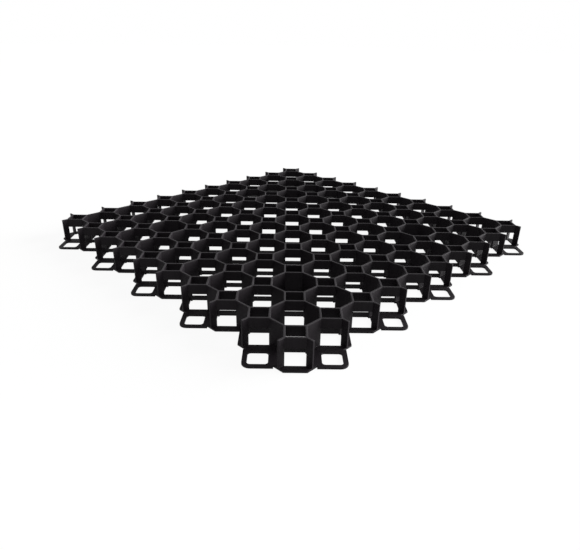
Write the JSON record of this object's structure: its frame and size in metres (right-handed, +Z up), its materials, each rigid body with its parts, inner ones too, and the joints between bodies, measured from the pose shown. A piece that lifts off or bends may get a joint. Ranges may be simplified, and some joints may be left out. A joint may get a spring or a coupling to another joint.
{
  "type": "grass paver grid",
  "caption": "Moulded plastic ground-reinforcement mat: open octagon and square cells on a holed base, with loops and hooks to join neighbours.",
  "frame": {"origin": "on the floor, under the middle of the bounding box", "axes": "+Z up; X and Y along the edges of the mat, with loops on the -X and -Y edges and hooks on the +X and +Y edges"},
  "size_m": [0.6188, 0.6188, 0.038],
  "materials": {
    "black_plastic": "black moulded polyethylene, semi-matt, top edges a little paler"
  },
  "bodies": {
    "root": {"grass_paver_grid": "black_plastic"}
  },
  "joints": []
}
